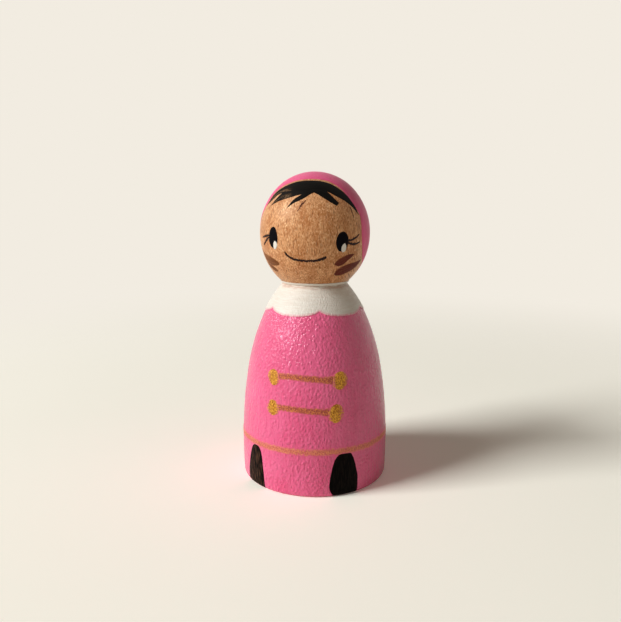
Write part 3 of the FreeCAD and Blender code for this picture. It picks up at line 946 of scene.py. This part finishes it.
def gold_marker(name, cover_from, most, bright, deep):
    """Metal flakes in a clear binder over the pink coat. Cover thins out towards the edge of the line."""
    made, tree, shader, place = new_material(name)
    rim = from_middle(tree, stroke_map(tree)[1])
    flakes = grains(tree, place, 0.3, 0.36, 7.7)
    lumps = grains(tree, place, 0.6, 1.0, 1.1)
    bare = calc(tree, "ADD", mixed(tree, rim, 0.7, lumps, 0.7), calc(tree, "MULTIPLY", flakes, 0.9))
    cover = ramp(tree, bare, cover_from + 0.45, cover_from - 0.1, 0.0, most)
    metal = tint(tree, ramp(tree, flakes, 0.3, 0.62), bright, deep)
    set_sockets(tree, shader, {
        "Base Color": tint(tree, cover, pink_paint(tree, place), metal),
        "Metallic": calc(tree, "MULTIPLY", cover, 0.15),
        "Normal": relief(tree, flakes, 0.00012),
        "Roughness": ramp(tree, flakes, 0.3, 0.7, 0.38, 0.52),
        "Specular IOR Level": 0.25,
    })
    return made


def dab(bm, facing, across, height, half_width, half_height, paint, under):
    """A round dab, drawn from its top to its bottom."""
    left, right = [], []
    for step in range(9):
        turn = math.radians(step * 180 / 8)
        aside, rise = half_width * math.sin(turn), half_height * math.cos(turn)
        left.append((across - aside, height + rise))
        right.append((across + aside, height + rise))
    pull(bm, facing, left, right, paint, under, steps=(36, 24), wobble=0.00012)


cord_gold = gold_marker("gold_marker_paint", 1.24, 0.86, colour(224, 140, 62), colour(136, 60, 22))
dab_gold = gold_marker("gold_dab_paint", 1.26, 1.0, colour(250, 188, 70), colour(166, 98, 16))
for frog, (path, dabs) in FROGS.items():
    bm = new_skin()
    pen(bm, FROG_FACING, path, CORD_WIDTHS, CORD_PAINT, DRESS_PAINT, steps=(90, 10))
    close_marks(bm)
    finish_piece(frog + "_cord_paint", bm, cord_gold, "gold_paint", frog + "_cord")
    bm = new_skin()
    for across, height, half_width, half_height in dabs:
        dab(bm, FROG_FACING, across, height, half_width, half_height, DAB_PAINT, DAB_LIES_ON)
    close_marks(bm)
    finish_piece(frog + "_dab_paint", bm, dab_gold, "gold_paint", frog + "_knots")


# THE HEM
# One line of the same gold marker round the skirt, drawn as the doll is turned by hand, so it rises and
# dips by a few tenths of a millimetre.
HEM_HEIGHT = 0.01385
HEM_WIDTH = 0.0023
HEM_UNEVEN = 0.0003

hem_gold = gold_marker("gold_hem_paint", 1.12, 0.74, colour(242, 166, 96), colour(190, 100, 52))
bm = new_skin()
for vert in wrap_round(bm, 720, 8):
    azimuth, side = (vert.co.x + 0.5) * 360 - 180, vert.co.y + 0.5
    turn = math.radians(azimuth)
    uneven = HEM_UNEVEN * noise.noise(Vector((math.sin(turn), math.cos(turn), 0)) * 2.3)
    level = HEM_HEIGHT + uneven + (side - 0.5) * HEM_WIDTH
    rim = min(1.0, 4 * min(side, 1 - side)) ** 0.5
    vert.co = on_peg(azimuth, level, DRESS_PAINT + FILM_EDGE + MARK_PAINT * rim)
close_marks(bm)
finish_piece("hem_paint", bm, hem_gold, "gold_paint", "hem_line")


# THE BOOTS
# Two black boots below the hem, filled in from the line down to the base edge with upright strokes. The
# same black is used for both: the doll's right boot, on the lit side, gets lighter brown streaks as a
# painted highlight, and the left one gets darker streaks as painted shade, so it reads nearly solid black.
def boot_paint(name, streak):
    """Black brushed upright, with streaks of the given colour: lighter as painted highlight, darker as
    painted shade.
    """
    made, tree, shader, place = new_material(name)
    streaks = grains(tree, place, 0.28, 2.6, 2.9, detail=3.0)
    set_sockets(tree, shader, {
        "Base Color": tint(tree, ramp(tree, streaks, 0.42, 0.66), colour(7, 5, 5), streak),
        "Normal": relief(tree, streaks, 0.0001),
        "Roughness": ramp(tree, streaks, 0.35, 0.65, 0.46, 0.34),
        "Specular IOR Level": 0.05,
        "IOR": 1.3,
    })
    return made


# For each side: its paint, the azimuth it faces and its two edges.
BOOTS = {
    "right": (
        # lighter streaks: painted highlight on the lit boot
        boot_paint("boot_paint_with_painted_highlight", colour(78, 54, 40)), -41,
        [(-0.1, 13.15), (-1.35, 12.2), (-2.3, 10.4), (-3.1, 8.0), (-3.8, 5.4), (-4.2, 3.4), (-4.15, 0.12)],
        [(0.9, 13.2), (1.7, 12.8), (2.55, 11.8), (3.15, 9.8), (3.6, 5.7), (3.9, 1.8), (3.95, 0.12)],
    ),
    "left": (
        # darker streaks: painted shade on the boot in shade
        boot_paint("boot_paint_with_painted_shade", colour(26, 20, 17)), 32.5,
        [(-1.0, 13.25), (-2.3, 12.3), (-3.2, 10.9), (-4.1, 7.2), (-4.5, 4.6), (-4.45, 2.4), (-3.3, 0.12)],
        [(1.8, 13.1), (2.6, 11.8), (3.4, 9.6), (4.0, 7.2), (4.4, 5.6), (4.45, 1.6), (4.2, 0.12)],
    ),
}
for side, (material, facing, one_edge, other_edge) in BOOTS.items():
    bm = new_skin()
    pull(bm, facing, one_edge, other_edge, MARK_PAINT, DRESS_PAINT, steps=(60, 36), wobble=0.00004)
    close_marks(bm)
    finish_piece(side + "_boot_paint", bm, material, "black_paint", side + "_boot")


# THE FLOOR, THE LIGHT AND THE CAMERA
# A pale floor that runs out into a pale background, one large soft lamp high on the left of the picture,
# a weak fill and the camera at the photograph's angle. The floor is paler to the camera than to the doll,
# which lifts the picture's background and puts no more light on the doll.
PALE = colour(242, 236, 225)
FLOOR_LIFT = colour(168, 172, 164)
AIR = (1.0, 0.78, 0.58, 1.0)
MID_HEIGHT = 0.045


def seen_straight(tree):
    """1 for a ray from the camera, off a gloss or through glass, and 0 for one that lights the doll."""
    seen = add(tree, "LightPath", {})
    straight = calc(tree, "MAXIMUM", seen.outputs["Is Camera Ray"], seen.outputs["Is Glossy Ray"])
    return calc(tree, "MAXIMUM", straight, seen.outputs["Is Transmission Ray"])


floor_material, tree, shader, place = new_material("pale_floor")
cloud = add(tree, "TexNoise", {"Vector": place, "Scale": 9.0, "Detail": 3.0}).outputs["Fac"]
set_sockets(tree, shader, {
    "Base Color": tint(tree, cloud, colour(250, 246, 234), colour(244, 240, 227)),
    "Roughness": 0.7,
    "Specular IOR Level": 0.1,
})
straight = seen_straight(tree)
far = add(tree, "VectorMath", {0: place}, operation="LENGTH").outputs["Value"]
fade = calc(tree, "MULTIPLY", ramp(tree, far, 0.09, 0.42, 0.08, 1.0), straight)
lift = add(tree, "BsdfDiffuse", {"Color": tint(tree, straight, colour(0, 0, 0), FLOOR_LIFT)}).outputs[0]
lifted = add(tree, "AddShader", {0: shader.outputs[0], 1: lift}).outputs[0]
glow = add(tree, "Emission", {"Color": PALE, "Strength": 1.0}).outputs[0]
set_sockets(tree, tree.nodes["Material Output"], {
    "Surface": add(tree, "MixShader", {0: fade, 1: lifted, 2: glow}).outputs[0],
})

bm = bmesh.new()
bmesh.ops.create_circle(bm, cap_ends=True, cap_tris=True, segments=96, radius=3.0)
floor = as_object("floor", bm, floor_material)

world = bpy.data.worlds.new("studio")
world.use_nodes = True
bpy.context.scene.world = world
tree = world.node_tree
air = add(tree, "Background", {"Color": AIR, "Strength": 0.085}).outputs[0]
backdrop = add(tree, "Background", {"Color": PALE, "Strength": 1.0}).outputs[0]
set_sockets(tree, tree.nodes["World Output"], {
    "Surface": add(tree, "MixShader", {0: seen_straight(tree), 1: air, 2: backdrop}).outputs[0],
})


def lamp(name, azimuth, elevation, distance, size, power):
    """A square soft lamp that points at the middle of the doll."""
    light = bpy.data.lights.new(name, "AREA")
    light.size = size
    light.energy = power
    turn, rise = math.radians(azimuth), math.radians(elevation)
    away = Vector((math.sin(turn) * math.cos(rise), -math.cos(turn) * math.cos(rise), math.sin(rise)))
    made = in_scene(name, light)
    made.location = Vector((0, 0, MID_HEIGHT)) + away * distance
    made.rotation_euler = away.to_track_quat("Z", "Y").to_euler()


lamp("key", azimuth=-61, elevation=33, distance=3.0, size=1.2, power=90.0)
lamp("fill", azimuth=75, elevation=25, distance=2.0, size=1.2, power=0.6)

camera = bpy.data.cameras.new("camera")
camera.sensor_width = 36.0
camera.lens = 34.73
camera.clip_start = 0.01
eye = in_scene("camera", camera)
eye.location = (0.03181, -0.18039, 0.08247)
eye.rotation_euler = (math.radians(80.159), 0, math.radians(10.409))
bpy.context.scene.camera = eye
bpy.context.scene.view_settings.view_transform = "Standard"
